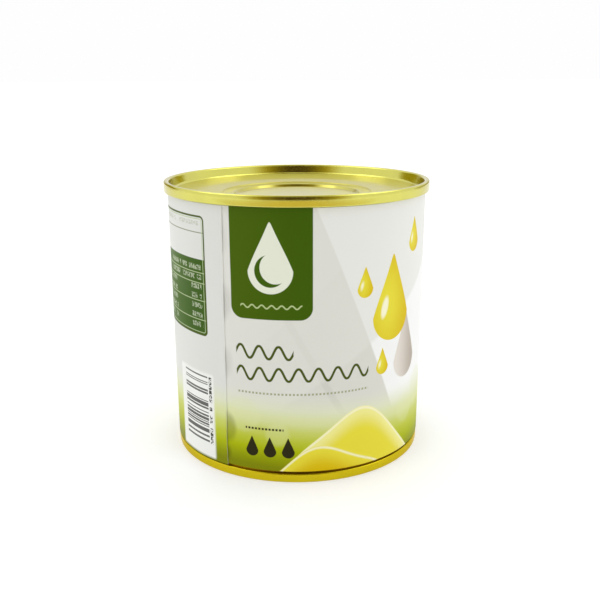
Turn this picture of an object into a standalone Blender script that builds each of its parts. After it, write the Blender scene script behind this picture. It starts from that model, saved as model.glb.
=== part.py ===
"""Shut food can for condensed milk: seamed gold ends, a necked-in base and a wrapped paper label.

Metres, +Z up. The origin is the centre of the base, on the plane that the can stands on.
The label's front faces -Y.
"""
import math

import bmesh
import bpy

CAN_HEIGHT = 0.0777
LABEL_RADIUS = 0.0366
LABEL_BOTTOM = 0.0034
TOP_SEAM_RADIUS = 0.0377
TOP_SEAM_HEIGHT = 0.00305
BASE_SEAM_RADIUS = 0.0365
BASE_SEAM_HEIGHT = 0.0025

FIT_GAP = 0.0003
SEAM_THICKNESS = 0.00145
SEAM_CROWN_ROUND = 0.00065
SEAM_LIP_ROUND = 0.00035

PAPER_BUILD = 0.0003
FLAP_STEP = 0.00015
FLAP_EDGE_ANGLE = math.radians(-31.7)
FLAP_LEAN = math.radians(0.9)
FLAP_WIDTH = 0.009
FLAP_CUT = math.radians(0.12)
LABEL_SKEW = 0.0003

BODY_RADIUS = LABEL_RADIUS - PAPER_BUILD - FIT_GAP
NECK_RADIUS = 0.03555
NECK_WALL = 0.0004
NECK_HEIGHT = 0.0005
NECK_SLOPE = 0.0006

LID_PLUG = 0.0066
BASE_PLUG = 0.0062

PANEL_DEPTH = 0.0026
SINK_DEPTH = 0.0031
SINK_WIDTH = 0.0005
WALL_TAPER = 0.00065
PANEL_SHOULDER = 0.0005
OUTER_BEAD_RADIUS = 0.0214
OUTER_BEAD_DEPTH = 0.0037
OUTER_BEAD_FALL = 0.0003
INNER_BEAD_RADIUS = 0.0180
INNER_BEAD_FALL = 0.0008
DISC_SAG = 0.00025
BEAD_ROUND = 0.0003
SHOULDER_ROUND = 0.0003

TURN_STEPS = 72
ARC_STEPS = 3


def clear_scene():
    for thing in list(bpy.data.objects):
        bpy.data.objects.remove(thing, do_unlink=True)


def corner_arc(before, corner, after, radius, steps):
    """Points of the arc that rounds one corner of an outline, from one tangent point to the other."""
    back = (before[0] - corner[0], before[1] - corner[1])
    ahead = (after[0] - corner[0], after[1] - corner[1])
    back_length = math.hypot(*back)
    ahead_length = math.hypot(*ahead)
    back = (back[0] / back_length, back[1] / back_length)
    ahead = (ahead[0] / ahead_length, ahead[1] / ahead_length)
    half = math.acos(max(-1.0, min(1.0, back[0] * ahead[0] + back[1] * ahead[1]))) / 2
    reach = radius / math.tan(half)
    middle = (back[0] + ahead[0], back[1] + ahead[1])
    middle_length = math.hypot(*middle)
    away = radius / math.sin(half)
    centre = (corner[0] + middle[0] / middle_length * away, corner[1] + middle[1] / middle_length * away)
    start = (corner[0] + back[0] * reach, corner[1] + back[1] * reach)
    end = (corner[0] + ahead[0] * reach, corner[1] + ahead[1] * reach)
    first = math.atan2(start[1] - centre[1], start[0] - centre[0])
    turn = math.atan2(end[1] - centre[1], end[0] - centre[0]) - first
    turn = (turn + math.pi) % (2 * math.pi) - math.pi
    points = []
    for step in range(steps + 1):
        angle = first + turn * step / steps
        points.append((centre[0] + radius * math.cos(angle), centre[1] + radius * math.sin(angle)))
    return points


def rounded_outline(corners, steps=ARC_STEPS):
    """Turns (radius, height, rounding) corners into an outline with arcs where a rounding is given."""
    outline = []
    for index, (across, height, rounding) in enumerate(corners):
        if rounding == 0:
            outline.append((across, height))
        else:
            before = corners[index - 1][:2]
            after = corners[index + 1][:2]
            outline.extend(corner_arc(before, (across, height), after, rounding, steps))
    return outline


def turned_mesh(name, outline):
    """Turns an open outline, which starts and ends on the Z axis, into a closed round solid."""
    build = bmesh.new()
    chain = [build.verts.new((across, 0.0, height)) for across, height in outline]
    edges = [build.edges.new(pair) for pair in zip(chain, chain[1:])]
    bmesh.ops.spin(
        build,
        geom=chain + edges,
        cent=(0.0, 0.0, 0.0),
        axis=(0.0, 0.0, 1.0),
        angle=2 * math.pi,
        steps=TURN_STEPS,
        use_merge=True,
    )
    bmesh.ops.remove_doubles(build, verts=build.verts, dist=1e-6)
    bmesh.ops.recalc_face_normals(build, faces=build.faces)
    mesh = bpy.data.meshes.new(name)
    build.to_mesh(mesh)
    build.free()
    return mesh


def place(name, mesh, material):
    """Adds a named object for one piece of the can."""
    mesh.materials.append(material)
    mesh.shade_smooth()
    mesh.set_sharp_from_angle(angle=math.radians(35))
    piece = bpy.data.objects.new(name, mesh)
    bpy.context.scene.collection.objects.link(piece)
    return piece


def finish(name, colour, roughness, metallic):
    """A plain material: linear colour, roughness and metallic value."""
    material = bpy.data.materials.new(name)
    material.use_nodes = True
    shader = material.node_tree.nodes["Principled BSDF"]
    shader.inputs["Base Color"].default_value = (*colour, 1.0)
    shader.inputs["Roughness"].default_value = roughness
    shader.inputs["Metallic"].default_value = metallic
    return material


def panel_corners(wall_radius, rim_height, inward):
    """Corners of an end's recessed face, from its centre out to the foot of its chuck wall.

    rim_height is the height of the seam's rim, and inward is -1 for the top end and 1 for the base.
    """
    foot = wall_radius - WALL_TAPER
    shoulder = foot - SINK_WIDTH - PANEL_SHOULDER
    scale = wall_radius / (TOP_SEAM_RADIUS - SEAM_THICKNESS)
    outer_bead = OUTER_BEAD_RADIUS * scale
    inner_bead = INNER_BEAD_RADIUS * scale
    land_depth = OUTER_BEAD_DEPTH + OUTER_BEAD_FALL
    disc_depth = land_depth + INNER_BEAD_FALL
    rows = [
        (0.0, disc_depth + DISC_SAG, 0.0),
        (inner_bead - INNER_BEAD_FALL, disc_depth, BEAD_ROUND),
        (inner_bead, land_depth, BEAD_ROUND),
        (outer_bead - OUTER_BEAD_FALL, land_depth, BEAD_ROUND),
        (outer_bead, OUTER_BEAD_DEPTH, BEAD_ROUND),
        (shoulder, PANEL_DEPTH, SHOULDER_ROUND),
        (foot - SINK_WIDTH, SINK_DEPTH, 0.0),
        (foot, SINK_DEPTH, 0.0),
    ]
    return [(across, rim_height + inward * depth, rounding) for across, depth, rounding in rows]


def make_lid_end():
    """Top end: double seam standing proud of the label, chuck wall, countersink and ringed panel."""
    seam_inside = TOP_SEAM_RADIUS - SEAM_THICKNESS
    seam_foot = CAN_HEIGHT - TOP_SEAM_HEIGHT
    corners = panel_corners(seam_inside, CAN_HEIGHT, -1)
    corners += [
        (seam_inside, CAN_HEIGHT, SEAM_CROWN_ROUND),
        (TOP_SEAM_RADIUS, CAN_HEIGHT, SEAM_CROWN_ROUND),
        (TOP_SEAM_RADIUS, seam_foot, SEAM_LIP_ROUND),
        (BODY_RADIUS, seam_foot, 0.0),
        (BODY_RADIUS, CAN_HEIGHT - LID_PLUG, 0.0),
        (0.0, CAN_HEIGHT - LID_PLUG, 0.0),
    ]
    gold = finish("gold lacquered tinplate, top", (0.58, 0.52, 0.10), 0.28, 1.0)
    return place("lid_end", turned_mesh("lid_end", rounded_outline(corners)), gold)


def make_bottom_end():
    """Base end: seam no wider than the label, with a flat ring to stand on and a recessed ringed panel."""
    seam_inside = BASE_SEAM_RADIUS - SEAM_THICKNESS
    plug_radius = NECK_RADIUS - NECK_WALL - FIT_GAP
    corners = panel_corners(seam_inside, 0.0, 1)
    corners += [
        (seam_inside, 0.0, SEAM_LIP_ROUND),
        (BASE_SEAM_RADIUS, 0.0, SEAM_LIP_ROUND),
        (BASE_SEAM_RADIUS, BASE_SEAM_HEIGHT, SEAM_LIP_ROUND),
        (plug_radius, BASE_SEAM_HEIGHT, 0.0),
        (plug_radius, BASE_PLUG, 0.0),
        (0.0, BASE_PLUG, 0.0),
    ]
    gold = finish("gold lacquered tinplate, base", (0.56, 0.42, 0.04), 0.28, 1.0)
    return place("bottom_end", turned_mesh("bottom_end", rounded_outline(corners)), gold)


def make_can_body():
    """Steel body with its contents: a solid cylinder that necks in above the base seam."""
    neck_foot = BASE_SEAM_HEIGHT + FIT_GAP
    neck_top = neck_foot + NECK_HEIGHT
    corners = [
        (0.0, CAN_HEIGHT - LID_PLUG - FIT_GAP, 0.0),
        (BODY_RADIUS, CAN_HEIGHT - LID_PLUG - FIT_GAP, 0.0),
        (BODY_RADIUS, neck_top + NECK_SLOPE, 0.0),
        (NECK_RADIUS, neck_top, 0.0),
        (NECK_RADIUS, neck_foot, 0.0),
        (NECK_RADIUS - NECK_WALL, neck_foot, 0.0),
        (NECK_RADIUS - NECK_WALL, BASE_PLUG + FIT_GAP, 0.0),
        (0.0, BASE_PLUG + FIT_GAP, 0.0),
    ]
    steel = finish("gold lacquered tinplate, body", (0.22, 0.15, 0.02), 0.35, 1.0)
    return place("can_body", turned_mesh("can_body", rounded_outline(corners)), steel)


def label_angles():
    """Angles round the label, from the flap's edge all the way back to it, with a narrow cut face."""
    start = FLAP_EDGE_ANGLE + FLAP_CUT
    sweep = 2 * math.pi - FLAP_CUT
    return [start + sweep * step / TURN_STEPS for step in range(TURN_STEPS + 1)]


def label_outer_radius(travel):
    """Outer radius after a travel from 0 to 1 round the can, raised where the flap lies on its start."""
    flap_share = FLAP_WIDTH / (2 * math.pi * LABEL_RADIUS)
    rise = max(0.0, min(1.0, (travel - (1 - 2 * flap_share)) / flap_share))
    return LABEL_RADIUS + FLAP_STEP * rise * rise * (3 - 2 * rise)


def make_paper_label():
    """Paper label wrapped once round the body, its end glued over its start in an upright flap."""
    label_top = CAN_HEIGHT - TOP_SEAM_HEIGHT - FIT_GAP
    inner = BODY_RADIUS + FIT_GAP
    build = bmesh.new()
    rings = []
    angles = label_angles()
    for index, angle in enumerate(angles):
        travel = index / (len(angles) - 1)
        outer = label_outer_radius(travel)
        low = LABEL_BOTTOM - LABEL_SKEW * travel
        ring = []
        for radius, height, lean in (
            (outer, low, 0.0),
            (outer, label_top, FLAP_LEAN),
            (inner, label_top, FLAP_LEAN),
            (inner, low, 0.0),
        ):
            across = math.sin(angle + lean)
            depth = -math.cos(angle + lean)
            ring.append(build.verts.new((radius * across, radius * depth, height)))
        rings.append(ring)
    for ring, following in zip(rings, rings[1:] + rings[:1]):
        for corner in range(4):
            after = (corner + 1) % 4
            build.faces.new((ring[corner], following[corner], following[after], ring[after]))
    bmesh.ops.recalc_face_normals(build, faces=build.faces)
    mesh = bpy.data.meshes.new("paper_label")
    build.to_mesh(mesh)
    build.free()
    paper = finish("coated label paper", (0.72, 0.74, 0.66), 0.42, 0.0)
    return place("paper_label", mesh, paper)


clear_scene()
make_can_body()
make_lid_end()
make_bottom_end()
make_paper_label()
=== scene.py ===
"""Looks of the shut condensed milk can: gold lacquered ends, lacquered steel body, printed paper label.

Metres, +Z up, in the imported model's frame. The print is laid out in millimetres on the label's own map:
s runs to the right round the can from the middle of the front, and z is the height above the base.
"""
import math

import bmesh
import bpy
from mathutils import Euler, Matrix, Vector


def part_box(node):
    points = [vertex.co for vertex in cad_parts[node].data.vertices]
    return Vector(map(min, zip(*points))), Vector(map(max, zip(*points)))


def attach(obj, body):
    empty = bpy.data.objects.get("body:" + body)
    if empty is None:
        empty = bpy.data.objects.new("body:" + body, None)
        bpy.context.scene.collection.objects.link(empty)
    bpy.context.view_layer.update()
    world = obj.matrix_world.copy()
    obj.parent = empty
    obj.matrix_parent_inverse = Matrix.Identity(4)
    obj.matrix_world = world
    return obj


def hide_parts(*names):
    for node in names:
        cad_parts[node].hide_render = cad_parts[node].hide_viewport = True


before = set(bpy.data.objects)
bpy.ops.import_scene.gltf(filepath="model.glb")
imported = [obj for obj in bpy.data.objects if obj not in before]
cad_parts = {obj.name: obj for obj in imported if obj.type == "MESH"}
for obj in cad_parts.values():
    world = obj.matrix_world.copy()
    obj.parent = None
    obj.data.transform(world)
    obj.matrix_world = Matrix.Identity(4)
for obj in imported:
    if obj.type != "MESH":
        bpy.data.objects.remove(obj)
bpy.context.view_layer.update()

# Sizes of the tin, from the frame and as the model has them
MM = 0.001
CAN_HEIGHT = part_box("lid_end")[1].z
TOP_SEAM_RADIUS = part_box("lid_end")[1].x
BASE_SEAM_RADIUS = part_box("bottom_end")[1].x
TOP_SEAM_HEIGHT = 0.00305
BASE_SEAM_HEIGHT = 0.0025
SEAM_THICKNESS = 0.00145
SEAM_CROWN_ROUND = 0.00048
SEAM_INNER_ROUND = 0.00055
SEAM_SWELL_DEPTH = 0.00120
SEAM_SWELL = 0.00011
SEAM_SWELL_ROUND = 0.0050
SEAM_LIP_ROUND = 0.00035
SEAM_DRAFT = 0.00006
LID_PLUG = 0.0066
BASE_PLUG = 0.0062
PANEL_DEPTH = 0.0026
SINK_DEPTH = 0.0031
SINK_WIDTH = 0.00086
SINK_FILLET = 0.0010
SINK_ROUND = 0.00004
WALL_TAPER = 0.00065
PANEL_SHOULDER = 0.00034
OUTER_BEAD_RADIUS = 0.0214
OUTER_BEAD_DEPTH = 0.0037
OUTER_BEAD_FALL = 0.0003
INNER_BEAD_RADIUS = 0.0180
INNER_BEAD_FALL = 0.0008
DISC_SAG = 0.00025
BEAD_ROUND = 0.0003
SHOULDER_ROUND = 0.0003
BODY_RADIUS = 0.0361
NECK_RADIUS = 0.03555
NECK_HEIGHT = 0.0005
NECK_SLOPE = 0.0011
NECK_ROUND = 0.0003
HIDDEN_GAP = 0.0003
TURN_SEGMENTS = 288
ARC_STEPS = 7
MERGE_REACH = 1e-6
WELD_REACH = 1e-7
TIN_CREASE = math.radians(40)

# Sizes of the paper label
LABEL_RADIUS = 0.0366
LABEL_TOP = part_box("paper_label")[1].z + 0.0002
LABEL_BOTTOM = 0.0034
LABEL_SKEW = 0.00045
PAPER = 0.00012
FLAP_STEP = 0.00015
FLAP_EDGE = math.radians(-31.7)
FLAP_LEAN = math.radians(0.9)
FLAP_WIDTH = 0.009
LEAN_REACH = 0.012
FINE_REACH = 0.009
FINE_STEP = 0.00025
COARSE_STEP = 0.001
LAST_STEP = 1e-9
ROW_STEP = 0.00085
PAPER_CREASE = math.radians(50)

# Print coordinates in millimetres
AROUND = 2 * math.pi * LABEL_RADIUS / MM
FACE_PITCH = AROUND / 2
FACE_MIDDLE = 12.5
PRINT_SOFT = 0.07


def linear(hex_colour):
    """Linear RGBA of an sRGB hex colour."""
    channels = [int(hex_colour[start:start + 2], 16) / 255 for start in (1, 3, 5)]
    return [c / 12.92 if c <= 0.04045 else ((c + 0.055) / 1.055) ** 2.4 for c in channels] + [1.0]


def add(tree, kind, inputs=None, output=0, **settings):
    """Adds a node with its settings, links or fills its inputs, and gives one of its outputs."""
    node = tree.nodes.new(kind)
    for name, value in settings.items():
        setattr(node, name, value)
    for key, value in (inputs or {}).items():
        if isinstance(value, bpy.types.NodeSocket):
            tree.links.new(value, node.inputs[key])
        else:
            node.inputs[key].default_value = value
    return node.outputs[output]


def calc(tree, operation, *values):
    """Outcome of one sum on numbers."""
    return add(tree, "ShaderNodeMath", dict(enumerate(values)), operation=operation)


def vector_calc(tree, operation, *values):
    """Outcome of one sum on vectors: a number for a length or a dot product, else a vector."""
    output = 1 if operation in ("LENGTH", "DOT_PRODUCT") else 0
    return add(tree, "ShaderNodeVectorMath", dict(enumerate(values)), output, operation=operation)


def remap(tree, value, low, high, first=0.0, last=1.0, **settings):
    """A value that goes from low to high, turned into one that goes from first to last and stays there."""
    return add(tree, "ShaderNodeMapRange", {0: value, 1: low, 2: high, 3: first, 4: last}, **settings)


def parts(tree, place):
    """The first two parts of a vector."""
    return add(tree, "ShaderNodeSeparateXYZ", {0: place}).node.outputs[:2]


def tone_ramp(tree, share, stops):
    """Colour at a share from 0 to 1 of the way through (share, colour) stops."""
    tones = add(tree, "ShaderNodeValToRGB", {0: share})
    ramp = tones.node.color_ramp
    for _ in stops[2:]:
        ramp.elements.new(0.5)
    for stop, (place, colour) in zip(ramp.elements, stops):
        stop.position = place
        stop.color = linear(colour)
    return tones


def end_with(tree, kind, shader):
    """Adds the output node of a material or world and joins its surface to it."""
    node = tree.nodes.new(kind)
    tree.links.new(shader, node.inputs["Surface"])


def new_material(name):
    """An empty node material, and its node tree."""
    material = bpy.data.materials.new(name)
    material.use_nodes = True
    material.node_tree.nodes.clear()
    return material, material.node_tree


def in_scene(name, data):
    """A new object with this data, in the scene."""
    thing = bpy.data.objects.new(name, data)
    bpy.context.scene.collection.objects.link(thing)
    return thing


# Tin pieces, each turned round the can's axis from its outline


def corner_arc(before, corner, after, rounding):
    """Points of the arc that rounds one corner of an outline, or the corner itself where it is sharp."""
    if rounding == 0:
        return [corner]
    back = (before - corner).normalized()
    ahead = (after - corner).normalized()
    half = back.angle(ahead) / 2
    centre = corner + (back + ahead).normalized() * rounding / math.sin(half)
    start = corner + back * rounding / math.tan(half) - centre
    end = corner + ahead * rounding / math.tan(half) - centre
    return [centre + start.slerp(end, step / ARC_STEPS) * rounding for step in range(ARC_STEPS + 1)]


def rounded_outline(corners):
    """Points of an outline given as (radius, height, rounding) corners."""
    places = [Vector(corner[:2]) for corner in corners]
    outline = []
    for index, (_, _, rounding) in enumerate(corners):
        before = places[max(index - 1, 0)]
        after = places[min(index + 1, len(places) - 1)]
        outline.extend(corner_arc(before, places[index], after, rounding))
    return outline


def turning_tree():
    """Geometry Nodes that carry an outline of (radius, height) points round a circle of the given reach."""
    tree = bpy.data.node_groups.new("turned tin", "GeometryNodeTree")
    for name, kind in (
        ("Outline", "NodeSocketGeometry"),
        ("Reach", "NodeSocketFloat"),
        ("Segments", "NodeSocketInt"),
        ("Finish", "NodeSocketMaterial"),
    ):
        tree.interface.new_socket(name, in_out="INPUT", socket_type=kind)
    tree.interface.new_socket("Turned", in_out="OUTPUT", socket_type="NodeSocketGeometry")
    given = tree.nodes.new("NodeGroupInput").outputs
    circle = add(
        tree, "GeometryNodeCurvePrimitiveCircle", {"Resolution": given["Segments"], "Radius": given["Reach"]}
    )
    outline = add(tree, "GeometryNodeMeshToCurve", {"Mesh": given["Outline"]})
    inward = calc(tree, "SUBTRACT", 0.0, given["Reach"])
    shift = add(tree, "ShaderNodeCombineXYZ", {"X": inward})
    upright = Euler((math.pi, 0.0, 0.0))
    seated = add(
        tree, "GeometryNodeTransform", {"Geometry": outline, "Translation": shift, "Rotation": upright}
    )
    swept = add(tree, "GeometryNodeCurveToMesh", {"Curve": circle, "Profile Curve": seated})
    merged = add(tree, "GeometryNodeMergeByDistance", {"Geometry": swept, "Distance": MERGE_REACH})
    smooth = add(tree, "GeometryNodeSetShadeSmooth", {"Geometry": merged})
    real = add(tree, "GeometryNodeRealizeInstances", {"Geometry": smooth})
    finished = add(tree, "GeometryNodeSetMaterial", {"Geometry": real, "Material": given["Finish"]})
    tree.links.new(finished, tree.nodes.new("NodeGroupOutput").inputs["Turned"])
    return tree


def face_outwards(mesh):
    """Merges what touches and turns every face of a closed mesh outwards."""
    build = bmesh.new()
    build.from_mesh(mesh)
    bmesh.ops.remove_doubles(build, verts=build.verts, dist=WELD_REACH)
    bmesh.ops.recalc_face_normals(build, faces=build.faces)
    build.to_mesh(mesh)
    build.free()


def turned_piece(name, corners, tree, finish):
    """A tin piece: its outline, which starts and ends on the axis, turned by the node tree."""
    outline = rounded_outline(corners)
    drawn = bpy.data.meshes.new(name)
    links = [(index, index + 1) for index in range(len(outline) - 1)]
    drawn.from_pydata([(point.x, point.y, 0.0) for point in outline], links, [])
    piece = in_scene(name, drawn)
    turning = piece.modifiers.new("turning", "NODES")
    turning.node_group = tree
    values = {"Reach": TOP_SEAM_RADIUS, "Segments": TURN_SEGMENTS, "Finish": finish}
    for socket in tree.interface.items_tree:
        if socket.name in values:
            turning[socket.identifier] = values[socket.name]
    turned = bpy.data.meshes.new_from_object(piece.evaluated_get(bpy.context.evaluated_depsgraph_get()))
    piece.modifiers.remove(turning)
    piece.data = turned
    turned.name = name
    face_outwards(turned)
    turned.set_sharp_from_angle(angle=TIN_CREASE)
    return piece


def panel_corners(wall_radius, rim_height, inward):
    """Corners of an end's recessed face, from its centre out to the foot of its chuck wall."""
    foot = wall_radius - WALL_TAPER
    shoulder = foot - SINK_WIDTH - PANEL_SHOULDER
    scale = wall_radius / (TOP_SEAM_RADIUS - SEAM_THICKNESS)
    outer_bead = OUTER_BEAD_RADIUS * scale
    inner_bead = INNER_BEAD_RADIUS * scale
    land_depth = OUTER_BEAD_DEPTH + OUTER_BEAD_FALL
    disc_depth = land_depth + INNER_BEAD_FALL
    rows = [
        (0.0, disc_depth + DISC_SAG, 0.0),
        (inner_bead - INNER_BEAD_FALL, disc_depth, BEAD_ROUND),
        (inner_bead, land_depth, BEAD_ROUND),
        (outer_bead - OUTER_BEAD_FALL, land_depth, BEAD_ROUND),
        (outer_bead, OUTER_BEAD_DEPTH, BEAD_ROUND),
        (shoulder, PANEL_DEPTH, SHOULDER_ROUND),
        (foot - SINK_WIDTH, SINK_DEPTH, SINK_ROUND),
        (foot, SINK_DEPTH, SINK_FILLET),
    ]
    return [(across, rim_height + inward * depth, rounding) for across, depth, rounding in rows]


def lid_corners():
    """Top end: double seam standing proud of the label, chuck wall, countersink and ringed panel."""
    seam_inside = TOP_SEAM_RADIUS - SEAM_THICKNESS
    seam_foot = CAN_HEIGHT - TOP_SEAM_HEIGHT
    return panel_corners(seam_inside, CAN_HEIGHT, -1) + [
        (seam_inside, CAN_HEIGHT, SEAM_INNER_ROUND),
        (TOP_SEAM_RADIUS - SEAM_SWELL, CAN_HEIGHT, SEAM_CROWN_ROUND),
        (TOP_SEAM_RADIUS, CAN_HEIGHT - SEAM_SWELL_DEPTH, SEAM_SWELL_ROUND),
        (TOP_SEAM_RADIUS - SEAM_DRAFT, seam_foot, SEAM_LIP_ROUND),
        (BODY_RADIUS, seam_foot + SEAM_LIP_ROUND, 0.0),
        (BODY_RADIUS, CAN_HEIGHT - LID_PLUG, 0.0),
        (0.0, CAN_HEIGHT - LID_PLUG, 0.0),
    ]


def base_corners():
    """Base end: seam no wider than the label, a narrow ring to stand on and a recessed ringed panel."""
    seam_inside = BASE_SEAM_RADIUS - SEAM_THICKNESS
    plug = seam_inside - HIDDEN_GAP
    return panel_corners(seam_inside, 0.0, 1) + [
        (seam_inside, 0.0, SEAM_LIP_ROUND),
        (BASE_SEAM_RADIUS, 0.0, SEAM_LIP_ROUND),
        (BASE_SEAM_RADIUS, BASE_SEAM_HEIGHT, SEAM_LIP_ROUND),
        (plug, BASE_SEAM_HEIGHT, 0.0),
        (plug, BASE_PLUG, 0.0),
        (0.0, BASE_PLUG, 0.0),
    ]


def body_corners():
    """Steel body, a plain cylinder that necks in above the base seam."""
    neck_foot = BASE_SEAM_HEIGHT + HIDDEN_GAP / 10
    neck_top = neck_foot + NECK_HEIGHT
    body_top = CAN_HEIGHT - LID_PLUG - HIDDEN_GAP
    plug = BASE_SEAM_RADIUS - SEAM_THICKNESS - HIDDEN_GAP / 2
    return [
        (0.0, BASE_PLUG + HIDDEN_GAP, 0.0),
        (plug, BASE_PLUG + HIDDEN_GAP, 0.0),
        (plug, neck_foot, 0.0),
        (NECK_RADIUS, neck_foot, 0.0),
        (NECK_RADIUS, neck_top, NECK_ROUND),
        (BODY_RADIUS, neck_top + NECK_SLOPE, NECK_ROUND),
        (BODY_RADIUS, body_top, 0.0),
        (0.0, body_top, 0.0),
    ]


# Paper label, one sheet wrapped once round, its end lying on its start


def smooth(value):
    """Eased step from 0 to 1."""
    value = max(0.0, min(1.0, value))
    return value * value * (3 - 2 * value)


def bump(distance, reach):
    """Soft bump that is 1 at distance 0 and fades out over a few reaches."""
    return math.exp(-((distance / reach) ** 2))


FLAP_LIFTS = (
    # height of the middle, half its length, how far the edge stands off
    (0.0680, 0.0060, 0.00014),
    (0.0490, 0.0040, 0.00024),
    (0.0330, 0.0030, 0.00014),
    (0.0110, 0.0060, 0.00026),
)
PAPER_DENTS = (
    # distance from the flap's edge, height, half width, half length, depth, slant
    (0.0012, 0.0330, 0.0011, 0.0040, 0.00022, 0.12),
    (0.0016, 0.0150, 0.0013, 0.0036, 0.00024, -0.10),
    (0.0009, 0.0075, 0.0007, 0.0012, 0.00016, 0.0),
    (0.0030, 0.0560, 0.0016, 0.0050, 0.00008, 0.2),
)
LIFT_REACH = 0.0016
SWELL_HEIGHT = 0.000022
SWELL_TURNS = (7, 2)
SWELL_RISES = (0.011, 0.017)
SHEET_START = FLAP_EDGE * LABEL_RADIUS
SHEET_LENGTH = 2 * math.pi * LABEL_RADIUS


def sheet_travels():
    """Places along the sheet from its covered start to its end, closer together near the flap."""
    travels = [-FLAP_WIDTH, -FLAP_WIDTH / 2]
    place = 0.0
    while place < SHEET_LENGTH - LAST_STEP:
        travels.append(place)
        fine = place < FINE_REACH or place > SHEET_LENGTH - FLAP_WIDTH - FINE_REACH
        place += FINE_STEP if fine else COARSE_STEP
    travels.append(SHEET_LENGTH)
    return travels


def flap_lift(beyond, height):
    """How far the top layer stands off, beyond metres back from its edge."""
    rise = 0.0
    for middle, reach, lift in FLAP_LIFTS:
        rise += lift * bump(height - middle, reach) * bump(beyond, LIFT_REACH)
    return rise


def paper_dent(past, height):
    """How far the lower layer is pressed in, past metres right of the flap's edge."""
    sink = 0.0
    for across, middle, width, length, depth, slant in PAPER_DENTS:
        offset = past - across - slant * (height - middle)
        sink += depth * bump(offset, width) * bump(height - middle, length)
    return sink


def label_point(travel, share):
    """Angle, radius and height of the outer point this far along the sheet, at this share of its height."""
    left = SHEET_LENGTH - travel
    low = LABEL_BOTTOM - LABEL_SKEW * max(0.0, travel) / SHEET_LENGTH
    height = low + (LABEL_TOP - low) * share
    angle = (SHEET_START + travel) / LABEL_RADIUS + FLAP_LEAN * share * smooth(1 - left / LEAN_REACH)
    on_top = smooth(2 - left / FLAP_WIDTH)
    radius = LABEL_RADIUS + FLAP_STEP * on_top
    radius += flap_lift(left, height) * on_top
    radius -= paper_dent(travel, height) * (1 - on_top)
    swell = SWELL_HEIGHT
    for turns, rise in zip(SWELL_TURNS, SWELL_RISES):
        swell *= math.sin(angle * turns + height / rise)
    radius += swell
    return angle, radius, height


def sheet_points(build, travels, rows, depth):
    """Columns of points of one side of the sheet, this deep below its printed face."""
    columns = []
    for travel in travels:
        column = []
        for row in range(rows + 1):
            angle, radius, height = label_point(travel, row / rows)
            reach = radius - depth
            column.append(build.verts.new((reach * math.sin(angle), -reach * math.cos(angle), height)))
        columns.append(column)
    return columns


# Places on the label's bake map, whose sides are 1
BAKE_MARGIN = 0.01
BAKE_LENGTH = 0.98
BAKE_ROW_HEIGHT = 0.45
BAKE_ROW_PITCH = 0.46
BAKE_INNER_START = 0.94
BAKE_INNER_HEIGHT = 0.03
BAKE_LONG_EDGES = (0.975, 0.985)
BAKE_SHORT_EDGES = (0.0015, 0.9935)
BAKE_SHORT_LENGTH = 0.9
BAKE_EDGE_WIDTH = 0.005


def bake_place(along, share, printed, second):
    """Place on the bake map: the printed side in two long rows, the inner side in a strip above them."""
    if printed:
        up = BAKE_MARGIN + BAKE_ROW_HEIGHT * share + BAKE_ROW_PITCH * second
        return BAKE_MARGIN + BAKE_LENGTH * (2 * along - second), up
    return BAKE_MARGIN + BAKE_LENGTH * along, BAKE_INNER_START + BAKE_INNER_HEIGHT * share


def sheet_faces(build, columns, travels, rows, printed):
    """Faces of one side of the sheet, with their places on the print map and the bake map."""
    print_map = build.loops.layers.uv["print_mm"]
    bake_map = build.loops.layers.uv["OFBake"]
    whole = travels[-1] - travels[0]
    for index, (near, far) in enumerate(zip(travels, travels[1:])):
        second = near + far > travels[0] + travels[-1]
        for row in range(rows):
            left = [(index, near, level) for level in (row, row + 1)]
            right = [(index + 1, far, level) for level in (row + 1, row)]
            ring = left + right
            face = build.faces.new([columns[column][level] for column, _, level in ring])
            face.smooth = True
            face.material_index = 0 if printed else 1
            for loop, (_, travel, level) in zip(face.loops, ring):
                share = level / rows
                angle, _, height = label_point(travel, share)
                loop[print_map].uv = (angle * LABEL_RADIUS / MM, height / MM)
                loop[bake_map].uv = bake_place((travel - travels[0]) / whole, share, printed, second)


def edge_faces(build, outer, inner, start, along, across):
    """Cut edge between two rows of points, laid on the bake map as a band from start."""
    bake_map = build.loops.layers.uv["OFBake"]
    last = len(outer) - 1
    for index in range(last):
        face = build.faces.new((outer[index], outer[index + 1], inner[index + 1], inner[index]))
        face.material_index = 1
        for loop, place, side in zip(face.loops, (index, index + 1, index + 1, index), (0, 0, 1, 1)):
            loop[bake_map].uv = Vector(start) + Vector(along) * place / last + Vector(across) * side


def make_label(printed, bare):
    """The printed sheet as a thin closed shell with its print map and a map for baking."""
    travels = sheet_travels()
    rows = round((LABEL_TOP - LABEL_BOTTOM) / ROW_STEP)
    build = bmesh.new()
    for name in ("print_mm", "OFBake"):
        build.loops.layers.uv.new(name)
    outer = sheet_points(build, travels, rows, 0.0)
    inner = sheet_points(build, travels, rows, PAPER)
    sheet_faces(build, outer, travels, rows, True)
    sheet_faces(build, inner, travels, rows, False)
    for level, base in zip((0, rows), BAKE_LONG_EDGES):
        sides = [[column[level] for column in columns] for columns in (outer, inner)]
        edge_faces(build, *sides, (BAKE_MARGIN, base), (BAKE_LENGTH, 0.0), (0.0, BAKE_EDGE_WIDTH))
    for end, base in zip((0, -1), BAKE_SHORT_EDGES):
        start = (base, BAKE_MARGIN)
        edge_faces(build, outer[end], inner[end], start, (0.0, BAKE_SHORT_LENGTH), (BAKE_EDGE_WIDTH, 0.0))
    bmesh.ops.recalc_face_normals(build, faces=build.faces)
    mesh = bpy.data.meshes.new("printed_label")
    build.to_mesh(mesh)
    build.free()
    mesh.materials.append(printed)
    mesh.materials.append(bare)
    mesh.set_sharp_from_angle(angle=PAPER_CREASE)
    return in_scene("printed_label", mesh)


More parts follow.
